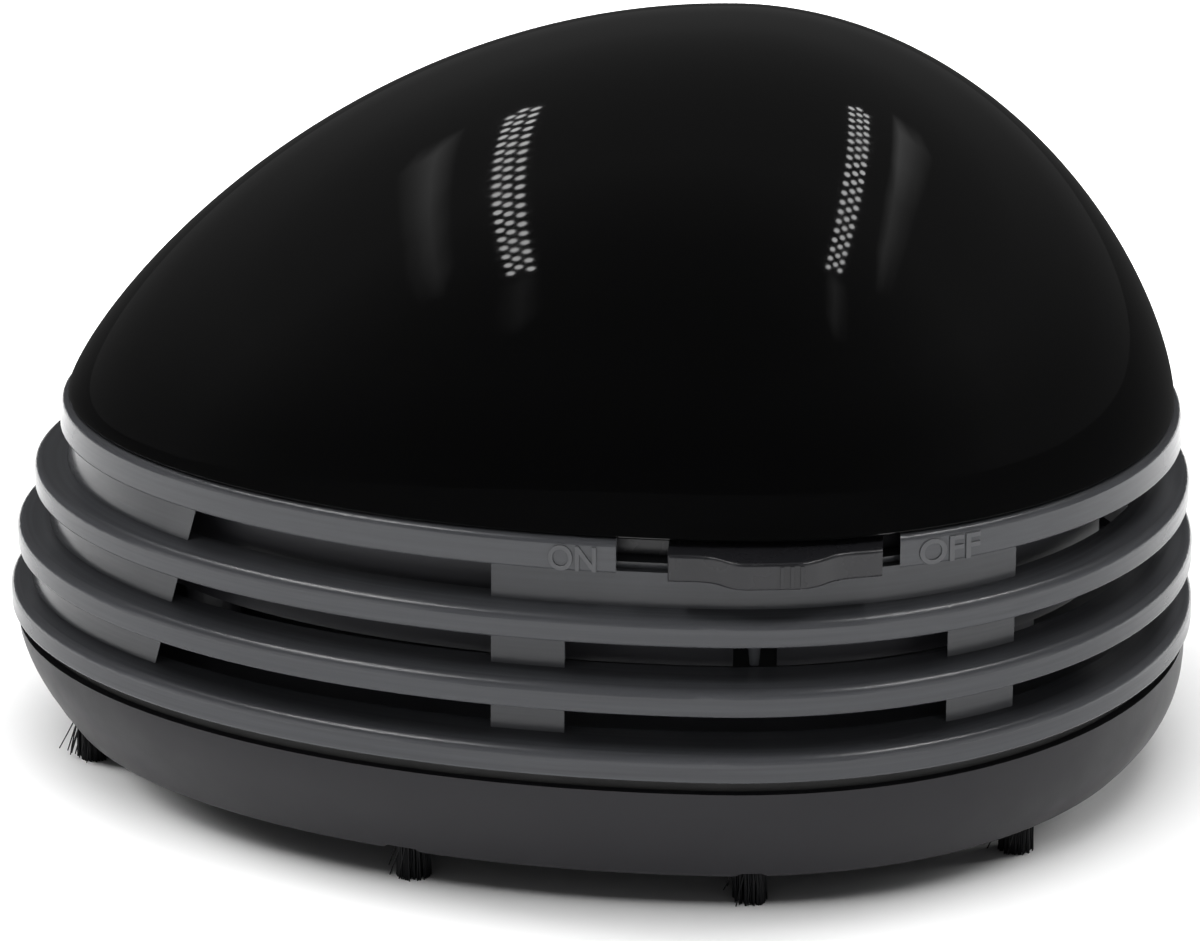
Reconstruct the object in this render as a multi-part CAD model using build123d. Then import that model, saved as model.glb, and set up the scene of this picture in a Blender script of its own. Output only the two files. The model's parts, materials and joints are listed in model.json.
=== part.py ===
from build123d import *
import os
from collections import namedtuple
from math import cos, degrees, radians, sin, sqrt

# A desktop mini vacuum cleaner, in millimetres. It stands on bristle tufts, +Z up, with the origin
# at the centre of its length and width, on the table. The pointed end is towards -X, the blunt end
# towards +X, and the switch is on the front, towards -Y.

# Every level of the body is an egg: two half ellipses that meet at the widest station. An Egg holds
# their half lengths: towards the pointed end, towards the blunt end, and to each side.
Egg = namedtuple("Egg", "pointed blunt side")

# ---- Overall form ----
length = 120.0  # the longest rib, along X
full_width = 91.6  # the longest rib, along Y
pointed_reach = 73.0  # from the widest station to the pointed end
blunt_reach = length - pointed_reach
widest_x = length / 2 - blunt_reach
longest_rib = Egg(pointed_reach, blunt_reach, full_width / 2)

# ---- Heights, from the table up ----
tuft_length = 3.7  # bristle tips to the underside of the tray
tray_height = 10.2
seal_height = 1.4
rib_count = 3
rib_height = 2.7
rib_gap = 3.67
rim_height = 3.1
hood_height = 39.4
rib_pitch = rib_height + rib_gap
tray_bottom = tuft_length
tray_top = tray_bottom + tray_height
ring_bottom = tray_top + seal_height
rim_bottom = ring_bottom + rib_count * rib_pitch
ring_top = rim_bottom + rim_height

# ---- Dust tray ----
tray_top_inset = 0.6  # the tray's edge stands this far inside the longest rib
bowl_inset = Egg(5.0, 3.8, 3.2)  # how far the bowl draws in towards its underside
bowl_power = Egg(1.6, 3.0, 1.45)  # powers of the curves that its sides follow
bowl_levels = (0.0, 0.3, 0.55, 0.75, 0.9, 1.0)
tray_wall = 2.2
tray_floor = 1.8
tray_edge_round = 0.9
mouth_length = 36.0
mouth_width = 12.0
duct_wall = 1.6
duct_height = 7.3  # above the underside of the tray
mouth_recess_margin = 5.0
mouth_recess_depth = 0.7

# ---- Bristle tufts ----
tuft_inset = Egg(7.3, 7.7, 6.8)  # the tufts' circle, inside the longest rib
tuft_angles = (41.4, 84.9, 116.6, 167.6)  # around the widest station, from the blunt end
tuft_top_radius = 1.6
tuft_tip_radius = 2.0
tuft_root = 3.0
tuft_pocket_radius = 3.4
tuft_pocket_depth = 0.6
tuft_boss_wall = 1.2

# ---- Seal ----
seal_inset = 0.9  # inside the tray's edge

# ---- Louvre ring ----
rim_inset = Egg(5.5, 1.5, 5.1)  # how far the rim draws in from the longest rib
rib_taper = Egg(1.7, 2.0, 1.5)  # powers of the curve that the ribs' edges follow
rim_lean = 0.3
rib_top_round = 0.8
rib_bottom_round = 0.3
rim_top_round = 0.6
rim_bottom_round = 0.25
wall_inset_bottom = Egg(1.2, 1.9, 4.0)  # the wall behind the ribs, inside the longest rib
wall_inset_top = Egg(8.2, 4.2, 7.0)
ring_wall = 1.8
ledge_width = 1.6
ledge_height = 0.8
window_start = -37.9  # the solid panel round the pointed end stops here, under the rim
window_lean = 0.27  # and this much further back for each millimetre down
post_start = -8.4
post_width = 7.1
far_post_start = 35.1
far_post_width = 6.4
pin_x = 16.7
pin_radius = 0.95
pin_tip_radius = 0.45
pin_drop = 5.2

# ---- Switch slot and knob ----
slot_start = 3.6
slot_length = 26.8
slot_sill = 0.3
slot_drop = 0.3  # in front of the sill the slot reaches this far below the rim
knob_length = 20.2
knob_end_gap = 1.65  # what is left of the slot past the knob at OFF, and past it at ON
knob_gap = 0.15  # clearance above and below the knob
knob_drop = 0.5  # from the rim's top down to the grip
knob_proud = 1.2
knob_bulge = 1.85
knob_flat = 3.2  # at each end of the grip, before it swells
knob_swell = 4.0
knob_points = 15
knob_round = 0.3
grip_count = 3
grip_pitch = 0.95
grip_width = 0.35
grip_height = 0.18
grip_offset = 1.7
shutter_thickness = 1.0
shutter_clearance = 0.4
shutter_cover = 0.8  # how far the shutter reaches past the slot at each end of the travel
travel = slot_length - knob_length - 2 * knob_end_gap
slot_end = slot_start + slot_length
knob_end = slot_end - knob_end_gap
knob_start = knob_end - knob_length
knob_x = (knob_start + knob_end) / 2

# ---- Chassis: the deck, its skirt and its columns ----
fit_gap = 0.2  # between pieces that stay together
slide_gap = 0.3  # between pieces that lift apart
deck_thickness = 1.5
skirt_thickness = 1.2
skirt_depth = 11.6
skirt_notch = 4.2
skirt_end = 50.0  # the skirt is open past this station
column_radius = 2.8
column_places = ((-38.0, 14.0), (41.0, 15.0))
peg_places = ((-35.5, 9.0), (42.5, 8.0))
socket_wall = 1.3
socket_height = 2.7
deck_bottom = rim_bottom + slot_sill
deck_top = deck_bottom + deck_thickness

# ---- Floor plate, under the fan ----
floor_thickness = 1.6
rebate = 0.9  # the step in the ring's wall that the floor plate fits into
floor_flange = 0.5  # the least that the floor plate stands out past its spigot
spigot_height = 3.8
spigot_wall = 1.4
inlet_radius = 17.0
inlet_spokes = 4
inlet_spoke_turn = 45.0
spoke_width = 1.6
floor_top = ring_bottom + floor_thickness

# ---- Filter ----
filter_radius = 20.0
filter_thickness = 0.8
frame_margin = 2.4
frame_height = 2.2
frame_tab = 5.0

# ---- Fan and motor ----
fan_x = 12.5
fan_radius = 23.0
fan_bottom = 20.6
blade_count = 9
blade_height = 8.0
blade_thickness = 1.1
blade_root_radius = 8.0
blade_sweep = 38.0  # degrees that each blade lags from its root to its tip
blade_curve = 0.62  # the share of that lag at its middle
fan_plate = 1.2
fan_plate_taper = 0.4
hub_radius = 3.8
hub_height = 11.6
shaft_radius = 1.0
bearing_gap = 0.05
shaft_end = 0.8  # the shaft stands this far out of the rear bearing
can_radius = 10.05
can_flats = 15.1
can_length = 21.0
can_round = 1.0
front_boss_radius = 3.1
cap_length = 4.0
rear_boss_radius = 3.0
rear_boss_length = 1.6
terminal_width = 2.4
terminal_thickness = 0.4
terminal_reach = 2.2
clamp_thickness = 1.0
clamp_width = 8.0
clamp_foot = 7.0
clamp_bend = 0.8
clamp_boss_radius = 2.4
clamp_boss_depth = 3.2

# ---- Cells and their holders ----
cell_radius = 7.25  # AA cells
cell_body = 49.5
nub_radius = 2.75
nub_length = 1.0
trough_gap = 0.15
cell_offset = 5.0  # the cells' middle, from the motor's axis towards the pointed end
holder_base = 1.2
holder_wall = 0.8
holder_inner_wall = 0.5  # beside the motor
holder_foot_width = 8.0
holder_side = 5.5
holder_end_height = 13.2
spring_room = 2.6
plate_thickness = 0.4
plate_width = 9.0
leaf_width = 6.0
leaf_foot = 1.2
leaf_tip = 0.5
leaf_rise = 7.0  # how far up the contact the leaf rejoins it
holder_motor_gap = 0.4
holder_peg_radius = 1.2
holder_end_wall = 1.4

# ---- Slide switch ----
case_x = widest_x  # where the shutter stands furthest forward
case_length = 9.0
case_depth = 3.5
case_height = 4.0
case_wall = 0.4
case_set_back = 0.5  # behind the tongue
ear_length = 3.0
ear_thickness = 0.8
nub_size = 1.8
carriage_length = 4.0
tongue_x = case_x + travel / 2  # at OFF
tongue_width = 4.0
tongue_thickness = 1.1
tongue_bite = 0.4  # how far the tongue is let into the shutter
tag_count = 3
tag_pitch = 2.5
tag_width = 1.2
tag_reach = 1.2

# ---- Screws ----
screw_head_radius = 1.9
screw_head_height = 1.1
screw_radius = 0.9
screw_cross = 0.45
screw_cross_depth = 0.5
screw_cross_reach = 1.2
housing_screw_length = 9.0
clamp_screw_length = 4.5
ear_screw_length = 2.0
small_screw_share = 0.72  # the switch's screws against the others

# ---- Wires ----
wire_radius = 0.45
wire_bend = 3.0

# ---- Hood ----
hood_inset = 0.9  # inside the rim's lower edge
hood_skin = 2.0
hood_power = Egg(1.244, 1.526, 1.7)
hood_level_count = 12
hood_level_spread = 1.35
hood_crown = 0.9985  # the share of the height at which the crown closes, all but flat
lip_wall = 1.0
shelf_height = 1.2
peg_radius = 1.5
peg_post_radius = 2.6


def inset(egg, amount):
    """The egg drawn in by an amount, or by an Egg of three amounts."""
    if not isinstance(amount, Egg):
        amount = Egg(amount, amount, amount)
    return Egg(*(reach - step for reach, step in zip(egg, amount)))


def outline(egg, z):
    """The egg as a flat face at height z."""
    centre = (widest_x, 0, z)
    blunt_half = EllipticalCenterArc(centre, egg.blunt, egg.side, start_angle=-90, arc_size=180)
    pointed_half = EllipticalCenterArc(centre, egg.pointed, egg.side, start_angle=90, arc_size=180)
    return Face(Wire([blunt_half, pointed_half]))


def edge_y(egg, x):
    """Half the egg's width at station x."""
    reach = egg.pointed if x < widest_x else egg.blunt
    return egg.side * sqrt(1 - ((x - widest_x) / reach) ** 2)


def slab(egg, low, high):
    """An upright egg-shaped block."""
    return extrude(outline(egg, low), high - low)


def flared(low_egg, low, high_egg, high):
    """An egg-shaped block whose side leans in a straight line."""
    return loft([outline(low_egg, low), outline(high_egg, high)], ruled=True)


def block(x_span, y_span, z_span):
    """A box between two corners."""
    spans = (x_span, y_span, z_span)
    centre = Location(tuple((low + high) / 2 for low, high in spans))
    return centre * Box(*(high - low for low, high in spans))


def rod(x, y, low, high, radius):
    """An upright cylinder."""
    return Location((x, y, (low + high) / 2)) * Cylinder(radius, high - low)


def mirrored(places):
    """Each (x, y) place, front and back."""
    return [(x, side * y) for x, y in places for side in (-1, 1)]


def tray_egg(z):
    """The outside of the dust tray's bowl at height z."""
    depth = (tray_top - z) / tray_height
    steps = (tray_top_inset + step * depth**power for step, power in zip(bowl_inset, bowl_power))
    return inset(longest_rib, Egg(*steps))


def rib_egg(level):
    """The outer edge of a rib, level 0 at the bottom and rib_count at the rim."""
    share = level / rib_count
    return inset(longest_rib, Egg(*(step * share**power for step, power in zip(rim_inset, rib_taper))))


def wall_egg(z, inward=0.0):
    """The outside of the louvre ring's wall at height z."""
    share = (z - ring_bottom) / (ring_top - ring_bottom)
    steps = (low + (high - low) * share for low, high in zip(wall_inset_bottom, wall_inset_top))
    return inset(inset(longest_rib, Egg(*steps)), inward)


def rib_bottom(level):
    """The height of a rib's underside."""
    return ring_bottom + level * rib_pitch


def hood_egg(height_share, skin=0.0):
    """The hood's egg at a share of its height."""
    base = inset(rib_egg(rib_count), hood_inset + skin)
    return Egg(*(reach * sqrt(1 - height_share**power) for reach, power in zip(base, hood_power)))


def tuft_places():
    """The tufts, along an egg just inside the tray's edge, front and back."""
    circle = inset(longest_rib, tuft_inset)
    places = []
    for angle in tuft_angles:
        reach = circle.blunt if angle < 90 else circle.pointed
        places.append((widest_x + reach * cos(radians(angle)), circle.side * sin(radians(angle))))
    return mirrored(places)


def bowl(skin, low, high):
    """The tray's bowl as a block, drawn in by a skin, between two heights."""
    heights = [high - (high - low) * level for level in bowl_levels]
    return loft([outline(inset(tray_egg(z), skin), z) for z in heights])


def mouth_slot(margin, low, high):
    """The suction mouth's rounded slot, grown by a margin."""
    shape = SlotOverall(mouth_length + 2 * margin, mouth_width + 2 * margin)
    return extrude(Location((fan_x, 0, low)) * shape, high - low)


def make_dust_tray():
    """The bowl that the dust falls into, with the suction duct up through its floor."""
    body = bowl(0, tray_bottom, tray_top)
    rim_edges = body.edges().group_by(Axis.Z)[0]
    body = fillet(rim_edges, tray_edge_round)
    floor = tray_bottom + tray_floor
    body -= bowl(tray_wall, floor, tray_top)
    body += mouth_slot(duct_wall, tray_bottom, tray_bottom + duct_height)
    inside = bowl(tray_wall / 2, tray_bottom + tray_floor / 2, tray_top)
    for x, y in tuft_places():
        top = tray_bottom + tuft_pocket_depth + tuft_root + tuft_boss_wall
        body += rod(x, y, floor, top, tuft_top_radius + tuft_boss_wall) & inside
    for x, y in tuft_places():
        pocket_top = tray_bottom + tuft_pocket_depth
        body -= rod(x, y, 0, pocket_top, tuft_pocket_radius)
        body -= rod(x, y, 0, pocket_top + tuft_root, tuft_top_radius)
    body -= mouth_slot(0, 0, tray_top)
    body -= mouth_slot(mouth_recess_margin, 0, tray_bottom + mouth_recess_depth)
    return body


def make_bristle_tufts():
    """The tufts: each a bundle set in its socket, spreading a little towards its tip."""
    neck = tray_bottom + tuft_pocket_depth
    tufts = []
    for x, y in tuft_places():
        brush = Location((x, y, neck / 2)) * Cone(tuft_tip_radius, tuft_top_radius, neck)
        tufts.append(brush + rod(x, y, neck, neck + tuft_root, tuft_top_radius))
    return Compound(tufts)


def make_tray_seal():
    """The soft black band between the tray's edge and the ring."""
    outer = inset(tray_egg(tray_top), seal_inset)
    inner = inset(tray_egg(tray_top), tray_wall)
    return slab(outer, tray_top, ring_bottom) - slab(inner, tray_top, ring_bottom)


def spigot_egg():
    """The outside of the floor plate's spigot, which slides down inside the tray."""
    return inset(tray_egg(ring_bottom - spigot_height), tray_wall + slide_gap)


def floor_egg():
    """The floor plate's edge: out past the spigot, and into the wall by the rebate."""
    in_wall = wall_egg(floor_top, ring_wall - rebate)
    return Egg(*(max(pair) for pair in zip(in_wall, inset(spigot_egg(), -floor_flange))))


def leaning_block(z_span, end, y_span):
    """A block from the leaning end of the pointed end's solid panel to a station."""
    low, high = z_span
    starts = [window_start - window_lean * (rim_bottom - z) for z in z_span]
    corners = Polyline((starts[0], low), (end, low), (end, high), (starts[1], high), close=True)
    section = Plane.XZ * Face(Wire(corners.edges()))
    return Location((0, y_span[1], 0)) * extrude(section, y_span[1] - y_span[0])


def windows(level):
    """The openings of one gap between ribs, as blocks to cut from the wall."""
    span = (rib_bottom(level) + rib_height, rib_bottom(level + 1))
    post_end = post_start + post_width
    far_post_end = far_post_start + far_post_width
    sides = {-1: (-full_width, 0), 1: (0, full_width)}
    cuts = [block((far_post_end, length), (-full_width, full_width), span)]
    for side, y_span in sides.items():
        cuts.append(leaning_block(span, post_start, y_span))
        switch_panel = side < 0 and level == rib_count - 1
        if not switch_panel:
            cuts.append(block((post_end, far_post_start), y_span, span))
    return cuts


def sill_egg():
    """The front of the sill that is left standing behind the slot's lower step."""
    return wall_egg(rim_bottom, ring_wall / 2)


def make_louvre_ring():
    """The slatted ring: wall, ribs, rim, windows, switch slot, deck ledge and locating pin."""
    body = flared(wall_egg(ring_bottom), ring_bottom, wall_egg(ring_top), ring_top)
    for level in range(rib_count):
        rib = slab(rib_egg(level), rib_bottom(level), rib_bottom(level) + rib_height)
        rib = fillet(rib.edges().group_by(Axis.Z)[-1], rib_top_round)
        body += fillet(rib.edges().group_by(Axis.Z)[0], rib_bottom_round)
    rim_edge = rib_egg(rib_count)
    rim = flared(rim_edge, rim_bottom, inset(rim_edge, rim_lean), ring_top)
    rim = fillet(rim.edges().group_by(Axis.Z)[-1], rim_top_round)
    body += fillet(rim.edges().group_by(Axis.Z)[0], rim_bottom_round)
    body -= flared(
        wall_egg(ring_bottom, ring_wall), ring_bottom, wall_egg(ring_top, ring_wall), ring_top
    )
    body -= slab(inset(floor_egg(), -fit_gap), ring_bottom, floor_top)
    for level in range(rib_count):
        for cut in windows(level):
            body -= cut
    ledge_low = deck_bottom - ledge_height
    ledge = slab(wall_egg(deck_bottom, ring_wall / 2), ledge_low, deck_bottom)
    body += ledge - slab(wall_egg(deck_bottom, ring_wall + ledge_width), ledge_low, deck_bottom)
    body -= block((slot_start, slot_end), (-full_width, 0), (deck_bottom, ring_top))
    step = block((slot_start, slot_end), (-full_width, 0), (rim_bottom - slot_drop, deck_bottom))
    body -= step - slab(sill_egg(), rim_bottom - slot_drop, deck_bottom)
    pin_top = rib_bottom(rib_count - 1) + rib_height / 2
    pin_y = -edge_y(wall_egg(pin_top, ring_wall), pin_x) + pin_radius / 2
    pin = Location((pin_x, pin_y, pin_top - pin_drop / 2)) * Cone(pin_tip_radius, pin_radius, pin_drop)
    return body + pin


def shutter_eggs():
    """The outer and inner faces of the shutter behind the wall."""
    outer = wall_egg(ring_top, ring_wall + shutter_clearance)
    return outer, inset(outer, shutter_thickness)


def shutter_span():
    """The shutter's stations at rest, covering the slot over the whole travel."""
    return slot_start - shutter_cover, slot_end + travel + shutter_cover


def knob_face(x):
    """How far forward the grip's face stands at station x. It swells between two flat ends."""
    from_end = min(x - knob_start, knob_end - x)
    share = min(max((from_end - knob_flat) / knob_swell, 0), 1)
    return edge_y(rib_egg(rib_count), x) + knob_proud + knob_bulge * (1 - cos(radians(180 * share))) / 2


def knob_outline():
    """The knob's plan: a wave in front, the shutter's face behind."""
    stations = [knob_start + knob_length * index / (knob_points - 1) for index in range(knob_points)]
    front = [(x, -knob_face(x)) for x in stations]
    back = shutter_eggs()[0]
    back_left = (knob_start, -edge_y(back, knob_start) + shutter_thickness / 2)
    back_right = (knob_end, -edge_y(back, knob_end) + shutter_thickness / 2)
    curve = Spline(front)
    sides = Polyline(front[-1], back_right, back_left, front[0])
    return Face(Wire([curve, *sides.edges()]))


def make_switch_knob():
    """The knob, the shutter behind it and the tongue that moves the switch's slider."""
    low = deck_bottom + knob_gap
    high = ring_top - knob_gap
    grip_low = rim_bottom - slot_drop + knob_gap
    grip_high = ring_top - knob_drop
    grip = extrude(Location((0, 0, grip_low)) * knob_outline(), grip_high - grip_low)
    corners = grip.edges().filter_by(Axis.Z).group_by(Axis.Y)[0]
    grip = fillet(grip.edges().filter_by(GeomType.BSPLINE) + corners, knob_round)
    sill = slab(inset(sill_egg(), -slide_gap), grip_low, low)
    grip -= sill + Location((travel, 0, 0)) * sill
    for index in range(grip_count):
        x = knob_x + grip_offset + (index - (grip_count - 1) / 2) * grip_pitch
        x_span = (x - grip_width / 2, x + grip_width / 2)
        y_span = (-knob_face(x) - grip_height, -knob_face(x) + knob_proud)
        grip += block(x_span, y_span, (grip_low + knob_round, grip_high - knob_round))
    outer, inner = shutter_eggs()
    grip += slab(outer, low, high) & block(shutter_span(), (-full_width, 0), (low, high))
    grip -= slab(inner, low, high)
    tongue_y = shutter_back()
    tongue = block(
        (tongue_x - tongue_width / 2, tongue_x + tongue_width / 2),
        (tongue_y - tongue_bite, tongue_y + tongue_thickness),
        (deck_top + knob_gap, nub_z() + nub_size),
    )
    return grip + tongue - switch_nub()


def shutter_back():
    """The y of the shutter's inner face at the tongue."""
    return -edge_y(shutter_eggs()[1], tongue_x)


def nub_z():
    """The height of the slider's nub."""
    return deck_top + case_height / 2


def case_front():
    """The y of the front of the slide switch's case."""
    return shutter_back() + tongue_thickness + case_set_back


def switch_nub():
    """The slider's nub, from the tongue into the case."""
    half = nub_size / 2
    x_span = (tongue_x - half, tongue_x + half)
    z_span = (nub_z() - half, nub_z() + half)
    return block(x_span, (shutter_back(), case_front() + case_depth / 2), z_span)


def case_box(margin):
    """The slide switch's case, drawn in by a margin."""
    front = case_front()
    half = case_length / 2 - margin
    x_span = (case_x - half, case_x + half)
    y_span = (front + margin, front + case_depth - margin)
    return block(x_span, y_span, (deck_top + margin, deck_top + case_height - margin))


def make_switch_case():
    """The slide switch's metal case, open in front for the nub, with two ears."""
    front = case_front()
    half = case_length / 2 + ear_length
    x_span = (case_x - half, case_x + half)
    ears = block(x_span, (front, front + case_depth), (deck_top, deck_top + ear_thickness))
    body = ears + case_box(0) - case_box(case_wall)
    slot_half = nub_size / 2 + travel / 2 + fit_gap
    height = nub_size / 2 + fit_gap
    y_span = (front - case_wall, front + 2 * case_wall)
    body -= block((case_x - slot_half, case_x + slot_half), y_span, (nub_z() - height, nub_z() + height))
    for place_x, place_y in ear_places():
        body -= rod(place_x, place_y, 0, deck_top + ear_thickness, screw_radius * small_screw_share)
    return body


def ear_places():
    """The switch's two screws."""
    y = case_front() + case_depth / 2
    reach = case_length / 2 + ear_length / 2
    return [(case_x - reach, y), (case_x + reach, y)]


def make_switch_slider():
    """The slider inside the switch: a carriage with the nub that the knob's tongue holds."""
    front = case_front() + case_wall + fit_gap
    back = case_front() + case_depth - case_wall - fit_gap
    half = carriage_length / 2
    low = deck_top + case_wall + fit_gap
    high = deck_top + case_height - case_wall - fit_gap
    carriage = block((tongue_x - half, tongue_x + half), (front, back), (low, high))
    return carriage + switch_nub()


def tag_places():
    """The switch's solder tags: x, and the y span that stands out at its back."""
    back = case_front() + case_depth
    stations = [case_x + (index - (tag_count - 1) / 2) * tag_pitch for index in range(tag_count)]
    return stations, (back, back + tag_reach)


def make_switch_tags():
    """The solder tags at the back of the switch."""
    stations, y_span = tag_places()
    half = tag_width / 2
    z_span = (nub_z() - terminal_thickness, nub_z())
    return Compound([block((x - half, x + half), y_span, z_span) for x in stations])


def screw(x, y, z, length_below, up, share=1.0):
    """A cross-head screw whose head sits on height z. Its shank points down, or up."""
    sign = 1 if up else -1
    head_far = z - sign * screw_head_height * share
    low, high = sorted((z, head_far))
    head = rod(x, y, low, high, screw_head_radius * share)
    low, high = sorted((z, z + sign * length_below))
    body = head + rod(x, y, low, high, screw_radius * share)
    low, high = sorted((head_far, head_far + sign * screw_cross_depth * share))
    arm = screw_cross_reach * share
    half = screw_cross * share / 2
    body -= block((x - arm, x + arm), (y - half, y + half), (low, high))
    return body - block((x - half, x + half), (y - arm, y + arm), (low, high))


def make_chassis():
    """The deck that carries the works, its skirt behind the louvres and its screw columns."""
    deck = slab(wall_egg(deck_top, ring_wall + fit_gap), deck_bottom, deck_top)
    shutter_low, shutter_high = shutter_span()
    notch_x = (shutter_low - travel - fit_gap, shutter_high + fit_gap)
    keep = slab(inset(shutter_eggs()[1], slide_gap), deck_bottom, deck_top)
    keep &= Location((-travel, 0, 0)) * keep
    notch = block(notch_x, (-full_width, 0), (deck_bottom, deck_top)) - keep
    skirt_outer = wall_egg(deck_bottom, ring_wall + ledge_width + fit_gap)
    skirt_low = deck_bottom - skirt_depth
    skirt = slab(skirt_outer, skirt_low, deck_bottom)
    skirt -= slab(inset(skirt_outer, skirt_thickness), skirt_low, deck_bottom)
    skirt -= block((skirt_end, length), (-full_width, full_width), (skirt_low, deck_bottom))
    pin_half = skirt_notch / 2
    skirt -= block((pin_x - pin_half, pin_x + pin_half), (-full_width, 0), (skirt_low, deck_bottom - rib_gap))
    body = deck - notch + skirt
    for x, y in mirrored(column_places):
        body += rod(x, y, floor_top, deck_bottom, column_radius)
    for x, y in mirrored(peg_places):
        body += rod(x, y, deck_top, deck_top + socket_height, peg_radius + socket_wall)
    for x, y in clamp_places():
        body += rod(x, y, deck_bottom - clamp_boss_depth, deck_bottom, clamp_boss_radius)
    for x, y in mirrored(column_places):
        body -= rod(x, y, floor_top, floor_top + housing_screw_length - floor_thickness, screw_radius)
    for x, y in mirrored(peg_places):
        body -= rod(x, y, deck_top, deck_top + socket_height, peg_radius + fit_gap / 2)
    for x, y in clamp_places():
        body -= rod(x, y, deck_top - clamp_screw_length + clamp_thickness, deck_top, screw_radius)
    for x, y in ear_places():
        body -= rod(x, y, deck_bottom, deck_top, screw_radius * small_screw_share)
    for x, y in holder_peg_places():
        body -= rod(x, y, deck_bottom, deck_top, holder_peg_radius)
    return body - rod(fan_x, 0, deck_bottom, deck_top, front_boss_radius)


def make_floor_plate():
    """The plate under the fan: it closes the ring, holds the filter and plugs into the tray."""
    body = slab(floor_egg(), ring_bottom, floor_top)
    spigot_low = ring_bottom - spigot_height
    body += slab(spigot_egg(), spigot_low, ring_bottom)
    body -= slab(inset(spigot_egg(), spigot_wall), spigot_low, ring_bottom)
    opening = rod(fan_x, 0, ring_bottom, floor_top, inlet_radius)
    half = spoke_width / 2
    for index in range(inlet_spokes // 2):
        reach = inlet_radius + spoke_width
        bar = block((-reach, reach), (-half, half), (ring_bottom, floor_top))
        angle = inlet_spoke_turn + index * 360 / inlet_spokes
        opening -= Location((fan_x, 0, 0)) * Rotation(0, 0, angle) * bar
    body -= opening
    for x, y in mirrored(column_places):
        body -= rod(x, y, ring_bottom, floor_top, screw_radius)
    return body


def make_filter_frame():
    """The ring that holds the filter up against the floor plate, with two finger tabs."""
    low = ring_bottom - frame_height
    radius = filter_radius + frame_margin
    body = rod(fan_x, 0, low, ring_bottom, radius)
    tab = block(
        (fan_x - radius - frame_tab, fan_x + radius + frame_tab),
        (-frame_tab, frame_tab),
        (low, ring_bottom - filter_thickness),
    )
    body += fillet(tab.edges().filter_by(Axis.Z), frame_margin)
    body -= rod(fan_x, 0, low, ring_bottom, inlet_radius)
    return body - rod(fan_x, 0, ring_bottom - filter_thickness, ring_bottom, filter_radius)


def make_filter_mesh():
    """The round filter screen."""
    return rod(fan_x, 0, ring_bottom - filter_thickness, ring_bottom, filter_radius)


def blade():
    """One backward-curved blade, about the fan's own axis."""
    def at(radius, angle):
        return (radius * cos(radians(angle)), radius * sin(radians(angle)))

    middle = (blade_root_radius + fan_radius) / 2
    edges = []
    for side in (-1, 1):
        lags = {blade_root_radius: 0, middle: blade_curve * blade_sweep, fan_radius: blade_sweep}
        half = {radius: degrees(side * blade_thickness / 2 / radius) for radius in lags}
        edges.append(ThreePointArc(*(at(radius, half[radius] - lag) for radius, lag in lags.items())))
    first, second = edges
    plan = Wire([first, Line(first @ 1, second @ 1), second, Line(second @ 0, first @ 0)])
    return extrude(Location((0, 0, fan_bottom)) * Face(plan), blade_height)


def make_impeller():
    """The centrifugal fan: hub, back plate and curved blades open towards the inlet."""
    plate_low = fan_bottom + blade_height
    plate_high = plate_low + fan_plate
    body = rod(0, 0, fan_bottom, fan_bottom + hub_height, hub_radius)
    body += Location((0, 0, (plate_low + plate_high) / 2)) * Cone(
        fan_radius, fan_radius - fan_plate_taper, fan_plate
    )
    for index in range(blade_count):
        body += Rotation(0, 0, index * 360 / blade_count) * blade()
    body -= rod(0, 0, fan_bottom, fan_bottom + hub_height, shaft_radius)
    return Location((fan_x, 0, 0)) * body


def motor_top():
    """The height of the end cap's outer face."""
    return deck_top + can_length + cap_length


def make_motor_shaft():
    """The steel shaft through the motor and the fan's hub."""
    return rod(fan_x, 0, fan_bottom, motor_top() + rear_boss_length + shaft_end, shaft_radius)


def flat_sided(low, high, margin=0.0):
    """The motor's section: a round with two flats."""
    half = can_flats / 2 - margin
    round_body = rod(fan_x, 0, low, high, can_radius - margin)
    reach = (fan_x - can_radius, fan_x + can_radius)
    return round_body & block(reach, (-half, half), (low, high))


def make_motor_can():
    """The motor's steel can with its front bearing boss."""
    body = flat_sided(deck_top, deck_top + can_length)
    body = fillet(body.edges().group_by(Axis.Z)[0], can_round)
    body += rod(fan_x, 0, deck_bottom, deck_top, front_boss_radius - fit_gap / 2)
    return body - rod(fan_x, 0, 0, deck_top + can_length, shaft_radius + bearing_gap)


def make_motor_end_cap():
    """The motor's plastic end cap with the rear bearing boss."""
    low = deck_top + can_length
    body = flat_sided(low, motor_top(), plate_thickness)
    body += rod(fan_x, 0, motor_top(), motor_top() + rear_boss_length, rear_boss_radius)
    return body - rod(fan_x, 0, low, motor_top() + rear_boss_length, shaft_radius + bearing_gap)


def motor_tag_z():
    """The height of the motor's terminals, halfway up the end cap."""
    return deck_top + can_length + cap_length / 2


def make_motor_terminals():
    """The motor's two terminals, out of the flats of its end cap."""
    face = can_flats / 2 - plate_thickness
    half = terminal_width / 2
    z_span = (motor_tag_z(), motor_tag_z() + terminal_thickness)
    x_span = (fan_x - half, fan_x + half)
    spans = ((-face - terminal_reach, -face), (face, face + terminal_reach))
    return Compound([block(x_span, y_span, z_span) for y_span in spans])


def clamp_places():
    """The motor clamp's two screws."""
    reach = can_radius + fit_gap + clamp_thickness + clamp_foot / 2
    return [(fan_x - reach, 0), (fan_x + reach, 0)]


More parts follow.
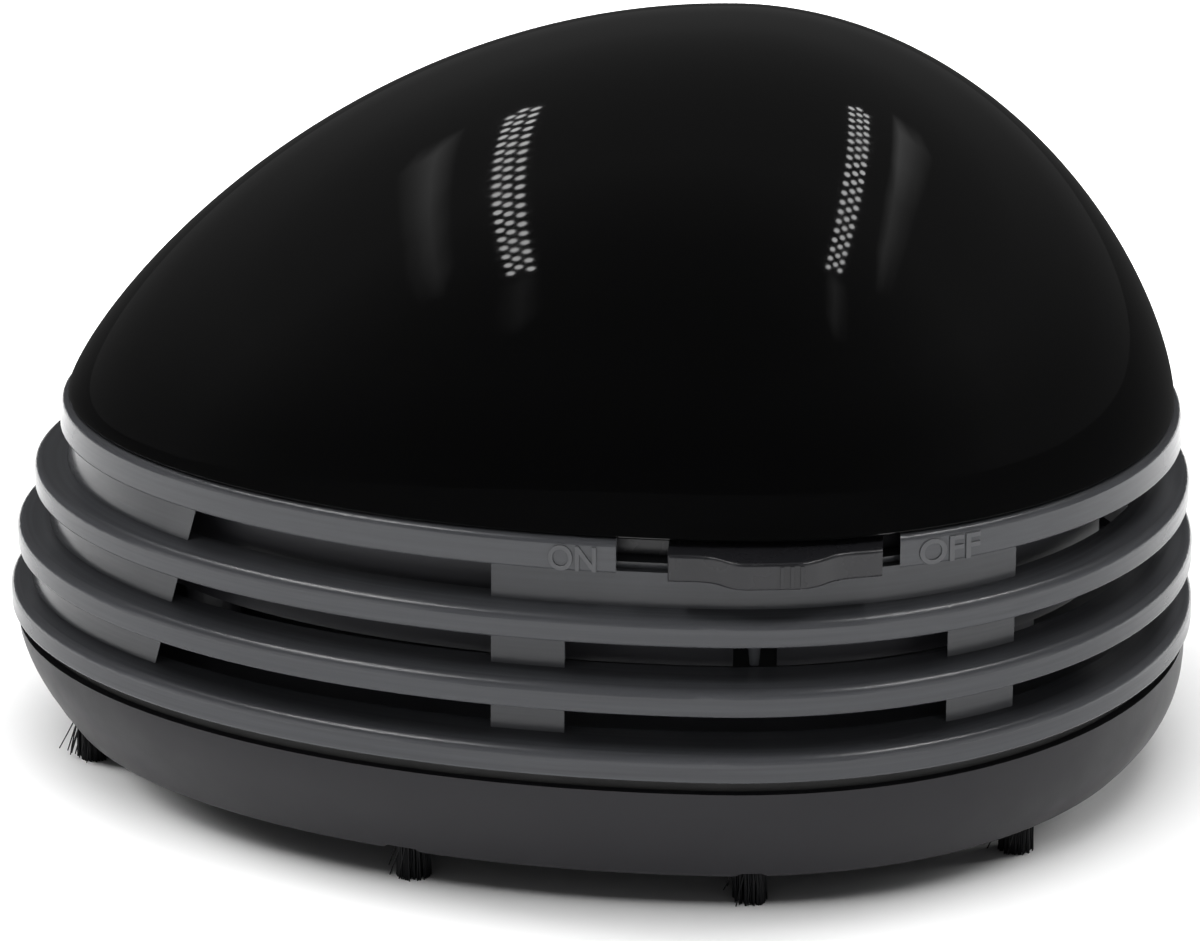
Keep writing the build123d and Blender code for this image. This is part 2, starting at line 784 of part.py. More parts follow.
def make_motor_clamp():
    """The strap over the motor, with a foot at each side."""
    inner = can_radius + fit_gap
    outer = inner + clamp_thickness
    top = motor_top() + clamp_thickness
    y_span = (-clamp_width / 2, clamp_width / 2)
    body = block((fan_x - outer, fan_x + outer), y_span, (deck_top, top))
    corners = body.edges().filter_by(Axis.Y).group_by(Axis.Z)[-1]
    body = fillet(corners, clamp_bend)
    foot = outer + clamp_foot
    body += block((fan_x - foot, fan_x + foot), y_span, (deck_top, deck_top + clamp_thickness))
    body -= block((fan_x - inner, fan_x + inner), y_span, (deck_top, motor_top()))
    for x, y in clamp_places():
        body -= rod(x, y, deck_top, deck_top + clamp_thickness, screw_radius)
    return body - rod(fan_x, 0, motor_top(), top, rear_boss_radius + fit_gap / 2)


def cell_y():
    """How far each cell's axis lies from the middle."""
    return can_flats / 2 + holder_motor_gap + holder_inner_wall + trough_gap + cell_radius


def cell_z():
    """The height of the cells' axes."""
    return deck_top + holder_base + cell_radius


def holder_span():
    """The inside of a holder along X: the cell, its contact plate and its spring."""
    inside = cell_body + nub_length + plate_thickness + spring_room
    middle = fan_x - cell_offset
    return middle - inside / 2, middle + inside / 2


def holder_peg_places():
    """Two pegs under each holder."""
    low, high = holder_span()
    quarter = (high - low) / 4
    return [(x, side * cell_y()) for x in (low + quarter, high - quarter) for side in (-1, 1)]


def trough(radius, z, x_span, y):
    """A round bar along X."""
    low, high = x_span
    return Location(((low + high) / 2, y, z)) * Rotation(0, 90, 0) * Cylinder(radius, high - low)


def make_battery_holder(side):
    """A trough for one cell, with end walls for its contacts and two pegs into the deck."""
    low, high = holder_span()
    whole_span = (low - holder_end_wall, high + holder_end_wall)
    y = side * cell_y()
    body = trough(cell_radius + trough_gap + holder_wall, cell_z(), whole_span, y)
    half = holder_foot_width / 2
    body += block(whole_span, (y - half, y + half), (deck_top, cell_z()))
    near = side * (can_flats / 2 + holder_motor_gap)
    room = block(whole_span, sorted((near, side * full_width)), (deck_top, deck_top + holder_side))
    body &= room
    width = plate_width / 2 + holder_wall
    end_span = (deck_top, deck_top + holder_end_height)
    ends = block(whole_span, (y - width, y + width), end_span)
    body += ends - block((low, high), (y - width, y + width), end_span)
    body -= trough(cell_radius + trough_gap, cell_z() + trough_gap, (low, high), y)
    for x, peg_y in holder_peg_places():
        if peg_y * side > 0:
            body += rod(x, peg_y, deck_bottom, deck_top, holder_peg_radius)
    return body


def along_x(side, x_from_nub_end, span):
    """A span along a cell, measured from the inside face of the holder at its nub end."""
    low, high = holder_span()
    near, far = x_from_nub_end, x_from_nub_end + span
    if side < 0:
        return high - far, high - near
    return low + near, low + far


def make_battery_cells():
    """Two AA cells, lying opposite ways round."""
    cells = []
    for side in (-1, 1):
        y = side * cell_y()
        body = trough(cell_radius, cell_z(), along_x(side, plate_thickness + nub_length, cell_body), y)
        body = fillet(body.edges(), plate_thickness)
        cells.append(body + trough(nub_radius, cell_z(), along_x(side, plate_thickness, nub_length), y))
    return Compound(cells)


def make_contact_plates():
    """The flat contact at each cell's nub, with a tab standing up for the wire."""
    plates = []
    half = plate_width / 2
    for side in (-1, 1):
        y = side * cell_y()
        z_span = (cell_z() - half, deck_top + holder_end_height)
        plates.append(block(along_x(side, 0, plate_thickness), (y - half, y + half), z_span))
    return Compound(plates)


def make_contact_springs():
    """The bent leaf that presses on each cell's flat end."""
    springs = []
    low = cell_z() - plate_width / 2
    for side in (-1, 1):
        y = side * cell_y()
        inward = -side
        wall = holder_span()[0] if side < 0 else holder_span()[1]
        strip_x = sorted((wall, wall + inward * plate_thickness))
        strip = block(strip_x, (y - leaf_width / 2, y + leaf_width / 2), (low, deck_top + holder_end_height))
        face = wall + inward * plate_thickness
        tip = wall + inward * spring_room
        bend = Polyline((face, low), (tip, cell_z()), (face, low + leaf_rise), close=True)
        inside = Polyline(
            (face, low + leaf_foot),
            (tip - inward * leaf_tip, cell_z()),
            (face, low + leaf_rise - leaf_foot),
            close=True,
        )
        section = Plane.XZ * (Face(Wire(bend.edges())) - Face(Wire(inside.edges())))
        leaf = Location((0, y, 0)) * extrude(section, leaf_width / 2, both=True)
        springs.append(strip + leaf)
    return Compound(springs)


def wire(points):
    """A round wire along straight runs and tangent bends."""
    bends = [wire_bend] * (len(points) - 2)
    path = FilletPolyline(*points, radius=bends) if bends else Line(*points)
    section = Plane(origin=path @ 0, z_dir=path % 0) * Circle(wire_radius)
    return sweep(section, path=path)


def make_lead_wires():
    """The leads: cell to cell, cell to switch, switch to motor, motor to cell."""
    low, high = holder_span()
    tab_z = deck_top + holder_end_height
    end_low = low + plate_thickness / 2
    end_high = high - plate_thickness / 2
    y = cell_y()
    over = tab_z + 2 * wire_bend
    link = [(end_low, -y, tab_z), (end_low, -y, over), (end_low, y, over), (end_low, y, tab_z)]
    stations, (tag_low, tag_high) = tag_places()
    tag_y = (tag_low + tag_high) / 2
    tag_z = nub_z()
    to_switch = [
        (end_high, -y, tab_z),
        (end_high, -y, over),
        (stations[-1], tag_y, over),
        (stations[-1], tag_y, tag_z),
    ]
    motor_y = can_flats / 2 - plate_thickness + terminal_reach / 2
    motor_z = motor_tag_z() + terminal_thickness
    top = motor_z + 2 * wire_bend
    to_motor = [
        (stations[0], tag_y, tag_z),
        (stations[0], tag_y, over),
        (fan_x, -motor_y, top),
        (fan_x, -motor_y, motor_z),
    ]
    back = [(fan_x, motor_y, motor_z), (fan_x, motor_y, top), (end_high, y, over), (end_high, y, tab_z)]
    return Compound([wire(route) for route in (link, to_switch, to_motor, back)])


def make_housing_screws():
    """The four screws up through the floor plate into the columns."""
    places = mirrored(column_places)
    return Compound([screw(x, y, ring_bottom, housing_screw_length, up=True) for x, y in places])


def make_clamp_screws():
    """The two screws of the motor clamp."""
    top = deck_top + clamp_thickness
    return Compound([screw(x, y, top, clamp_screw_length, up=False) for x, y in clamp_places()])


def make_switch_screws():
    """The two small screws of the slide switch."""
    top = deck_top + ear_thickness
    places = ear_places()
    return Compound([screw(x, y, top, ear_screw_length, False, small_screw_share) for x, y in places])


def hood_block(skin):
    """The hood's rounded form as a solid, drawn in by a skin."""
    height = hood_height - skin
    steps = [(index / hood_level_count) ** hood_level_spread for index in range(hood_level_count)]
    levels = [sin(radians(90 * step)) for step in steps] + [hood_crown]
    return loft([outline(hood_egg(level, skin), ring_top + height * level) for level in levels])


def make_hood():
    """The glossy hood: a thin shell with a locating lip and four pegs on posts."""
    outer = hood_block(0)
    shell = outer - hood_block(hood_skin)
    posts_low = deck_top + socket_height + slide_gap
    for x, y in mirrored(peg_places):
        shell += rod(x, y, posts_low, ring_top + hood_height, peg_post_radius) & outer
        shell += rod(x, y, deck_top + slide_gap, posts_low, peg_radius)
    lip_low = deck_top + slide_gap
    lip_outer = wall_egg(ring_top, ring_wall + slide_gap)
    shelf_top = ring_top + shelf_height
    lip = slab(lip_outer, lip_low, ring_top)
    lip += slab(hood_egg(0, hood_skin / 2), ring_top, shelf_top)
    lip -= slab(inset(lip_outer, lip_wall), lip_low, shelf_top)
    shutter_low, shutter_high = shutter_span()
    switch_x = (shutter_low - travel - slide_gap, shutter_high + slide_gap)
    lip -= block(switch_x, (-full_width, 0), (lip_low, shelf_top))
    return shell + lip


makers = {
    "dust_tray": make_dust_tray,
    "bristle_tufts": make_bristle_tufts,
    "tray_seal": make_tray_seal,
    "louvre_ring": make_louvre_ring,
    "chassis": make_chassis,
    "floor_plate": make_floor_plate,
    "filter_frame": make_filter_frame,
    "filter_mesh": make_filter_mesh,
    "impeller": make_impeller,
    "motor_shaft": make_motor_shaft,
    "motor_can": make_motor_can,
    "motor_end_cap": make_motor_end_cap,
    "motor_terminals": make_motor_terminals,
    "motor_clamp": make_motor_clamp,
    "battery_holder_front": lambda: make_battery_holder(-1),
    "battery_holder_rear": lambda: make_battery_holder(1),
    "battery_cells": make_battery_cells,
    "contact_plates": make_contact_plates,
    "contact_springs": make_contact_springs,
    "lead_wires": make_lead_wires,
    "switch_knob": make_switch_knob,
    "switch_slider": make_switch_slider,
    "switch_case": make_switch_case,
    "switch_tags": make_switch_tags,
    "housing_screws": make_housing_screws,
    "clamp_screws": make_clamp_screws,
    "switch_screws": make_switch_screws,
    "hood": make_hood,
}

os.makedirs("parts", exist_ok=True)
for name, maker in makers.items():
    export_step(maker(), f"parts/{name}.step")
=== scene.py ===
import json
import math
import random
from collections import namedtuple

import bmesh
import bpy
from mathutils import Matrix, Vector


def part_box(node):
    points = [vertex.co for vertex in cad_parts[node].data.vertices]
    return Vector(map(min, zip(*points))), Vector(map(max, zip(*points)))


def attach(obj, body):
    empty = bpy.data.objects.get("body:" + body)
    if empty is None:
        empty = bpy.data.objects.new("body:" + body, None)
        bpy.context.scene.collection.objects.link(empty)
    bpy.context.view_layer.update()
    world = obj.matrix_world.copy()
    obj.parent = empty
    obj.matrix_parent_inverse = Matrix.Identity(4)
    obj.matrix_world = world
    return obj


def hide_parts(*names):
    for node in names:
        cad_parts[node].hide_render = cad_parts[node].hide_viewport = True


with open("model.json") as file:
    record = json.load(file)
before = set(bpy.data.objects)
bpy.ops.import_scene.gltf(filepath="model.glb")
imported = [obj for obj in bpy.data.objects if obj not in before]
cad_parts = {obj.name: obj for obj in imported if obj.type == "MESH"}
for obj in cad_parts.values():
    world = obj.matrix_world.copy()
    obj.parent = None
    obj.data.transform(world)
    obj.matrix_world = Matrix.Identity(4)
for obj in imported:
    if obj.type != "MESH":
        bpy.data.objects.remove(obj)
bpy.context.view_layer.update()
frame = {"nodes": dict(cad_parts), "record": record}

nodes = frame["nodes"]

# Looks of a desktop mini vacuum cleaner. Lengths are in metres, and MM is one millimetre.
MM = 0.001

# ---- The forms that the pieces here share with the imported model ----
Egg = namedtuple("Egg", "pointed blunt side")
ring_low, ring_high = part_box("louvre_ring")
hood_low, hood_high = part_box("hood")
LONGEST_RIB = Egg(73 * MM, 47 * MM, 45.8 * MM)
WIDEST_X = (ring_high.x - ring_low.x) / 2 - LONGEST_RIB.blunt
RIM_INSET = Egg(5.5 * MM, 1.5 * MM, 5.1 * MM)
RING_TOP = ring_high.z
RIM_HEIGHT = 3.1 * MM
RIM_LEAN = 0.3 * MM
HOOD_INSET = 0.9 * MM
HOOD_SKIN = 2.0 * MM
HOOD_POWER = Egg(1.244, 1.526, 1.7)
SMOOTH_JOIN = 5.0  # how quickly the pointed half turns into the blunt half
HOOD_HEIGHT = hood_high.z - RING_TOP
HOOD_COLUMNS = 256
HOOD_ROWS = 96
HOOD_EDGE = 0.35 * MM  # the round at the shell's lower edge
EDGE_STEPS = 4
LIP_INSET = Egg(10.3 * MM, 6.3 * MM, 9.1 * MM)
LIP_WALL = 1.0 * MM
LIP_SHELF = 1.2 * MM
LIP_GAP = (-1.0 * MM, 36.0 * MM)  # where the lip leaves room for the switch, along x
PEG_PLACES = ((-35.5 * MM, 9.0 * MM), (42.5 * MM, 8.0 * MM))
PEG_RADIUS = 1.5 * MM
PEG_POST_RADIUS = 2.6 * MM
PEG_POST_LOW = 39.2 * MM
PEG_POST_SHARE = 0.35  # how far up the hood's height the posts reach
PEG_SINK = 1.0 * MM  # how far a peg reaches up into its post
PEG_SIDES = 24

# ---- Plastic: its cloudiness, its sheen and its grain, as noises with so many waves to the metre ----
CLOUD_SCALE = 60.0
SHEEN_SCALE = 220.0
GRAIN_SCALE = 3500.0
GRAIN_DETAIL = 2.0
NOISE_SPAN = (0.3, 0.7)  # where most of a noise's values lie

# ---- The ring's plastic, with lines along its ribs ----
RING_COLOUR = (0.064, 0.066, 0.072)
RING_ROUGH = 0.2
RING_SPECULAR = 0.27
LINE_WIDTH = 0.45 * MM
LINE_DRAW = 0.02  # how narrow a line is against its length
LINE_DETAIL = 3.0
LINE_DEPTH = 0.002 * MM
LINE_TONES = (0.9, 1.1)
LINE_ROUGH = (-0.04, 0.05)

# ---- Metal: its drawn lines ----
DRAWN_SCALE = 2500.0
DRAWN_SHARE = 0.04  # how narrow a line is against its length
DRAWN_DEPTH = 0.004 * MM
DRAWN_TONE = 0.9
DRAWN_ROUGH = 0.06

# ---- Filter screen ----
THREAD_SCALE = 700.0
THREAD_WAVER = 0.4
THREAD_DEPTH = 0.1 * MM
THREAD_ROUGH = 0.9
THREAD_TONES = ((0.0, (0.05, 0.05, 0.05)), (1.0, (0.6, 0.6, 0.58)))

# ---- Cells: where their sleeves change, as shares of their length from the flat end ----
CELL_MIDDLE = 7.5 * MM
CELL_HALF = 24.75 * MM
BODY_START, BAND_START, BAND_END = 0.012, 0.7, 0.988
CELL_STEEL = (0.5, 0.5, 0.51)
CELL_BODY = (0.016, 0.018, 0.022)
CELL_BAND = (0.3, 0.31, 0.33)
CELL_TONES = (
    (0.0, CELL_STEEL),
    (BODY_START, CELL_BODY),
    (BAND_START, CELL_BAND),
    (BAND_END, CELL_STEEL),
)
CELL_METAL = ((0.0, (1, 1, 1)), (BODY_START, (0, 0, 0)), (BAND_END, (1, 1, 1)))
CELL_ROUGH = (0.22, 0.3)

# ---- Bristles ----
TUFT_ANGLES = (41.4, 84.9, 116.6, 167.6)
TUFT_EGG = Egg(65.7 * MM, 39.3 * MM, 39.0 * MM)
TUFT_RADIUS = 1.5 * MM
TUFT_SPREAD = 1.12  # how wide a tuft's flat tip is, against its root
TUFT_ROOT_Z = 5.2 * MM
TUFT_LEAN_X = (-0.25 * MM, 0.1 * MM)
TUFT_LEAN_Y = (-0.15 * MM, 0.15 * MM)
BRISTLE_SEED = 7
FIBRES = 300
FIBRE_RADIUS = 0.095 * MM
FIBRE_STEPS = 4
FIBRE_SIDES = 4
FIBRE_TAPER = 0.35
FIBRE_SPLAY = 0.05 * MM
FIBRE_BEND = 0.03 * MM
TIP_UNEVEN = 0.06 * MM
STRAY_SHARE = 0.05
STRAY_OUT = 0.5
STRAY_WAY = Vector((-1.5, 0, 0))  # strays lean to the pointed end
STRAY_REACH = (0.3 * MM, 1.1 * MM)
STRAY_LIFT = 1.2 * MM

# ---- Words ----
WORD_HEIGHT = 2.35 * MM
WORD_DEPTH = 0.12 * MM
WORD_BEVEL = 0.03 * MM
WORD_BOLD = 0.04 * MM
WORD_LOW = 0.12 * MM  # from the rim's lower edge to the words' feet
WORD_STEP = 0.4 * MM  # longest edge of a word's mesh, so that it follows the rim round
WORD_PASSES = 3  # how often the longest edges are halved
WORD_CURVES = 6  # steps along each curve of a letter
CAPITAL_SHARE = 0.70  # how much of the font's size a capital takes
WORDS = (("ON", -0.5 * MM, 0.9), ("OFF", 35.05 * MM, 1.1))  # each word, its middle's x and its stretch

# ---- Dim room with two ceiling lamps of many small lights, which the hood mirrors ----
ROOM_RADIUS = 0.9
ROOM_SUBDIVISIONS = 4
CEILING = 0.45  # its height
ROOM_DARK_WAY = Vector((-0.1, -0.96, 0.26))  # the open front, the darkest part of the room
ROOM_DARKNESS = ((0.0, 1.0), (0.29, 1.0), (0.64, 0.55), (0.82, 0.4), (1.0, 0.3))
ROOM_LEVELS = (
    (-0.34, 0.055),
    (-0.17, 0.06),
    (0.0, 0.08),
    (0.26, 0.095),
    (0.5, 0.14),
    (0.77, 0.15),
)
# Each lamp's x at its front and at its back, for the left lamp (-1) and the right lamp (1)
LAMP_ENDS = {
    -1: (-0.505 * CEILING, -0.42 * CEILING),
    1: (0.505 * CEILING, 0.457 * CEILING),
}
LAMP_START = -0.50 * CEILING
LAMP_ROWS = 20
LAMP_COLUMNS = 3
LAMP_ROW_STEP = 0.051 * CEILING
LAMP_COLUMN_STEP = 0.030 * CEILING
LAMP_DROP = 1.0 * MM  # how far the lights hang under the ceiling's faint light
LAMP_DOT = 0.0125 * CEILING
LAMP_DOT_SIDES = 10
LAMP_GLOW = 8.0
# Faint light on the ceiling beside the lamps, row by row: y, then its inner edge, its brightest line
# and its outer edge in x, all as shares of the ceiling's height, and its strength there
CEILING_GLOWS = {
    "glow_left": (
        (0.56, -0.57, -0.63, -0.78, 0.0),
        (0.42, -0.58, -0.65, -0.77, 0.45),
        (0.15, -0.60, -0.67, -0.78, 0.45),
        (-0.10, -0.63, -0.70, -0.80, 0.33),
        (-0.35, -0.67, -0.74, -0.86, 0.22),
        (-0.54, -0.71, -0.77, -0.88, 0.0),
    ),
    "glow_right": (
        (0.66, 0.60, 0.64, 0.84, 0.0),
        (0.50, 0.60, 0.64, 0.82, 0.6),
        (0.25, 0.61, 0.65, 0.81, 0.65),
        (0.0, 0.62, 0.67, 0.80, 0.4),
        (-0.30, 0.66, 0.71, 0.83, 0.3),
        (-0.56, 0.71, 0.76, 0.86, 0.0),
    ),
    "glow_left_low": (
        (-0.48, -0.45, -0.50, -0.56, 0.0),
        (-0.58, -0.46, -0.52, -0.60, 0.12),
        (-0.78, -0.50, -0.58, -0.68, 0.1),
        (-0.95, -0.54, -0.63, -0.73, 0.0),
    ),
    "glow_right_low": (
        (-0.50, 0.47, 0.51, 0.56, 0.0),
        (-0.60, 0.48, 0.54, 0.62, 0.2),
        (-0.80, 0.54, 0.60, 0.70, 0.16),
        (-1.0, 0.60, 0.66, 0.76, 0.0),
    ),
}
GLOW_FADE = 0.4  # its strength halfway from the brightest line to the outer edge
CARD_GLOW = 0.05
CARD_LIFT = 0.15 * MM

# ---- Lamps. Powers are in watts ----
AIM = (0, 0, 0.03)  # where the side and front lamps point
LAMP_WIDTH = 0.02
LAMP_POWER = 0.9
GLINT_WIDTH = 0.012
GLINT_POWER = 1.3
SIDE_POWER = {-1: 0.36, 1: 0.26}
SIDE_PLACE = (0.38, -0.25, 0.1)
SIDE_SIZE = (0.4, 0.2)
FRONT_POWER = 0.15
FRONT_PLACE = (0, -0.6, 0.16)
FRONT_SIZE = (0.6, 0.2)
WORLD_LIGHT = 0.12
# The floor's own lamps: place, size and power
FLOOR_LAMPS = {
    "lamp_floor": ((0.0, -0.18, 1.0), 1.0, 16.0),
    "lamp_floor_left": ((-0.65, 0.25, 0.35), 0.3, 5.5),
    "lamp_floor_right": ((0.6, 0.3, 0.24), 0.3, 3.2),
}

# ---- Floor ----
FLOOR_RADIUS = 2.0
FLOOR_SIDES = 64
FLOOR_COLOUR = (0.8, 0.8, 0.8, 1)
FLOOR_GLOW = 1.0
FLOOR_GLOW_SPAN = (0.07, 0.16)  # how far from the middle the floor's own glow starts, and is whole

# ---- Camera, fitted to the ribs' outlines ----
CAMERA_AZIMUTH = 3.0
CAMERA_ELEVATION = 21.45
CAMERA_DISTANCE = 0.6
CAMERA_LENS = 178.0
CAMERA_SENSOR = 36.0
CAMERA_CLIP = 0.01
CAMERA_TARGET = Vector((0, 0, 0.029))


def inset(egg, amount):
    """The egg drawn in by a length, or by an Egg of three lengths."""
    if not isinstance(amount, Egg):
        amount = Egg(amount, amount, amount)
    return Egg(*(reach - step for reach, step in zip(egg, amount)))


def join_share(turn):
    """1 on the blunt half and 0 on the pointed half, with a smooth change between them."""
    return (1 + math.tanh(SMOOTH_JOIN * math.cos(turn)) / math.tanh(SMOOTH_JOIN)) / 2


def egg_point(egg, turn, z):
    """The point of an egg at an angle round the widest station."""
    share = join_share(turn)
    reach = egg.blunt * share + egg.pointed * (1 - share)
    return Vector((WIDEST_X + reach * math.cos(turn), egg.side * math.sin(turn), z))


def turns(count):
    """Angles that share a full turn out evenly."""
    return [2 * math.pi * index / count for index in range(count)]


def circle(x, y, z, radius, sides):
    """Points round a level circle."""
    return [
        Vector((x + radius * math.cos(turn), y + radius * math.sin(turn), z))
        for turn in turns(sides)
    ]


def mesh_object(name, bm, material, smooth=True):
    """A new object from a bmesh."""
    mesh = bpy.data.meshes.new(name)
    bm.normal_update()
    bm.to_mesh(mesh)
    bm.free()
    for face in mesh.polygons:
        face.use_smooth = smooth
    mesh.materials.append(material)
    made = bpy.data.objects.new(name, mesh)
    bpy.context.scene.collection.objects.link(made)
    return made


def skin_rings(bm, rings, closed_start=False, closed_end=False):
    """Faces between rings of points. Each ring is a closed loop."""
    loops = [[bm.verts.new(point) for point in ring] for ring in rings]
    for first, second in zip(loops, loops[1:]):
        count = len(first)
        for index in range(count):
            after = (index + 1) % count
            bm.faces.new((first[index], first[after], second[after], second[index]))
    if closed_start:
        bm.faces.new(list(reversed(loops[0])))
    if closed_end:
        bm.faces.new(loops[-1])
    return loops


# ---- Materials ----

def new_material(name):
    """A new material, its nodes and its main shader."""
    material = bpy.data.materials.new(name)
    material.use_nodes = True
    tree = material.node_tree
    return material, tree, tree.nodes["Principled BSDF"]


def object_noise(tree, scale, detail=4.0):
    """A noise texture in the object's own metres."""
    coords = tree.nodes.new("ShaderNodeTexCoord")
    noise = tree.nodes.new("ShaderNodeTexNoise")
    noise.inputs["Scale"].default_value = scale
    noise.inputs["Detail"].default_value = detail
    tree.links.new(coords.outputs["Object"], noise.inputs["Vector"])
    return noise


def spread(tree, noise, low, high):
    """A noise's value spread between two numbers."""
    node = tree.nodes.new("ShaderNodeMapRange")
    node.inputs["From Min"].default_value, node.inputs["From Max"].default_value = NOISE_SPAN
    node.inputs["To Min"].default_value = low
    node.inputs["To Max"].default_value = high
    tree.links.new(noise.outputs["Fac"], node.inputs["Value"])
    return node.outputs["Result"]


def ramp(tree, value, stops, blend="LINEAR"):
    """The colour at a number's place along a row of stops."""
    node = tree.nodes.new("ShaderNodeValToRGB")
    node.color_ramp.interpolation = blend
    elements = node.color_ramp.elements
    while len(elements) < len(stops):
        elements.new(0.5)
    for element, (where, colour) in zip(elements, stops):
        element.position = where
        element.color = (*colour, 1)
    tree.links.new(value, node.inputs["Fac"])
    return node.outputs["Color"]


def tint(tree, noise, dark, light):
    """A noise as a blend of two colours."""
    return ramp(tree, noise.outputs["Fac"], tuple(zip(NOISE_SPAN, (dark, light))))


def shades(colour, *levels):
    """A colour at several levels of brightness."""
    return [tuple(part * level for part in colour) for level in levels]


def bump(tree, shader, height, distance):
    """Fine relief from a number, its depth in metres."""
    node = tree.nodes.new("ShaderNodeBump")
    node.inputs["Strength"].default_value = 1.0
    node.inputs["Distance"].default_value = distance
    tree.links.new(height, node.inputs["Height"])
    tree.links.new(node.outputs["Normal"], shader.inputs["Normal"])


def plastic(name, colour, rough, grain_depth, variation=0.06, rough_spread=0.04, specular=0.5):
    """Moulded plastic: a faint cloudiness in its colour, an uneven sheen and a fine grain."""
    material, tree, shader = new_material(name)
    cloud = object_noise(tree, CLOUD_SCALE)
    dark, light = shades(colour, 1 - variation, 1 + variation)
    tree.links.new(tint(tree, cloud, dark, light), shader.inputs["Base Color"])
    sheen = spread(tree, object_noise(tree, SHEEN_SCALE), rough - rough_spread, rough + rough_spread)
    tree.links.new(sheen, shader.inputs["Roughness"])
    grain = object_noise(tree, GRAIN_SCALE, GRAIN_DETAIL)
    bump(tree, shader, grain.outputs["Fac"], grain_depth)
    shader.inputs["Specular IOR Level"].default_value = specular
    return material


def calculator(tree):
    """A function that works out one number from two, each a constant or another output."""

    def step(operation, first, second):
        node = tree.nodes.new("ShaderNodeMath")
        node.operation = operation
        for socket, value in zip(node.inputs, (first, second)):
            if isinstance(value, float):
                socket.default_value = value
            else:
                tree.links.new(value, socket)
        return node.outputs["Value"]

    return step


def split_coords(tree):
    """The object's own metres as three numbers."""
    coords = tree.nodes.new("ShaderNodeTexCoord")
    split = tree.nodes.new("ShaderNodeSeparateXYZ")
    tree.links.new(coords.outputs["Object"], split.inputs["Vector"])
    return split


def along_ribs(tree):
    """A noise drawn out into lines that follow the ribs round."""
    split = split_coords(tree)
    step = calculator(tree)
    across = step("SUBTRACT", split.outputs["X"], WIDEST_X)
    pointed = step("DIVIDE", step("MINIMUM", across, 0.0), LONGEST_RIB.pointed)
    blunt = step("DIVIDE", step("MAXIMUM", across, 0.0), LONGEST_RIB.blunt)
    x = step("ADD", pointed, blunt)
    y = step("DIVIDE", split.outputs["Y"], LONGEST_RIB.side)
    radius = step("SQRT", step("ADD", step("MULTIPLY", x, x), step("MULTIPLY", y, y)), 0.0)
    joined = tree.nodes.new("ShaderNodeCombineXYZ")
    tree.links.new(step("MULTIPLY", radius, LONGEST_RIB.side), joined.inputs["X"])
    tree.links.new(split.outputs["Z"], joined.inputs["Y"])
    tree.links.new(step("MULTIPLY", split.outputs["X"], LINE_DRAW), joined.inputs["Z"])
    noise = tree.nodes.new("ShaderNodeTexNoise")
    noise.inputs["Scale"].default_value = 1 / LINE_WIDTH
    noise.inputs["Detail"].default_value = LINE_DETAIL
    tree.links.new(joined.outputs["Vector"], noise.inputs["Vector"])
    return noise


def ribbed_plastic(name):
    """The ring's moulded plastic, with faint lines along its ribs."""
    material, tree, shader = new_material(name)
    lines = along_ribs(tree)
    tree.links.new(tint(tree, lines, *shades(RING_COLOUR, *LINE_TONES)), shader.inputs["Base Color"])
    sheen = spread(tree, lines, *(RING_ROUGH + change for change in LINE_ROUGH))
    tree.links.new(sheen, shader.inputs["Roughness"])
    bump(tree, shader, lines.outputs["Fac"], LINE_DEPTH)
    shader.inputs["Specular IOR Level"].default_value = RING_SPECULAR
    return material


def cell_sleeves(name):
    """The cells' plain two-tone sleeves, with bare steel at both ends. The cells lie head to tail."""
    material, tree, shader = new_material(name)
    split = split_coords(tree)
    step = calculator(tree)
    way = step("MULTIPLY", step("SIGN", split.outputs["Y"], 0.0), -1.0)
    along = step("MULTIPLY", step("SUBTRACT", split.outputs["X"], CELL_MIDDLE), way)
    share = step("MULTIPLY", step("ADD", step("DIVIDE", along, CELL_HALF), 1.0), 0.5)
    tree.links.new(ramp(tree, share, CELL_TONES, "CONSTANT"), shader.inputs["Base Color"])
    tree.links.new(ramp(tree, share, CELL_METAL, "CONSTANT"), shader.inputs["Metallic"])
    sheen = spread(tree, object_noise(tree, SHEEN_SCALE), *CELL_ROUGH)
    tree.links.new(sheen, shader.inputs["Roughness"])
    return material


def metal(name, colour, rough):
    """Plated metal with fine drawn lines along its height."""
    material, tree, shader = new_material(name)
    coords = tree.nodes.new("ShaderNodeTexCoord")
    mapping = tree.nodes.new("ShaderNodeMapping")
    mapping.inputs["Scale"].default_value = (1, 1, DRAWN_SHARE)
    noise = tree.nodes.new("ShaderNodeTexNoise")
    noise.inputs["Scale"].default_value = DRAWN_SCALE
    tree.links.new(coords.outputs["Object"], mapping.inputs["Vector"])
    tree.links.new(mapping.outputs["Vector"], noise.inputs["Vector"])
    shader.inputs["Metallic"].default_value = 1.0
    tree.links.new(tint(tree, noise, *shades(colour, DRAWN_TONE, 1)), shader.inputs["Base Color"])
    sheen = spread(tree, noise, rough - DRAWN_ROUGH, rough + DRAWN_ROUGH)
    tree.links.new(sheen, shader.inputs["Roughness"])
    bump(tree, shader, noise.outputs["Fac"], DRAWN_DEPTH)
    return material


def screen_cloth(name):
    """Fine woven screen: two crossed waves of threads."""
    material, tree, shader = new_material(name)
    coords = tree.nodes.new("ShaderNodeTexCoord")
    threads = []
    for axis in ("X", "Y"):
        wave = tree.nodes.new("ShaderNodeTexWave")
        wave.bands_direction = axis
        wave.inputs["Scale"].default_value = THREAD_SCALE
        wave.inputs["Distortion"].default_value = THREAD_WAVER
        tree.links.new(coords.outputs["Object"], wave.inputs["Vector"])
        threads.append(wave.outputs["Fac"])
    weave = calculator(tree)("MAXIMUM", *threads)
    tree.links.new(ramp(tree, weave, THREAD_TONES), shader.inputs["Base Color"])
    shader.inputs["Roughness"].default_value = THREAD_ROUGH
    bump(tree, shader, weave, THREAD_DEPTH)
    return material


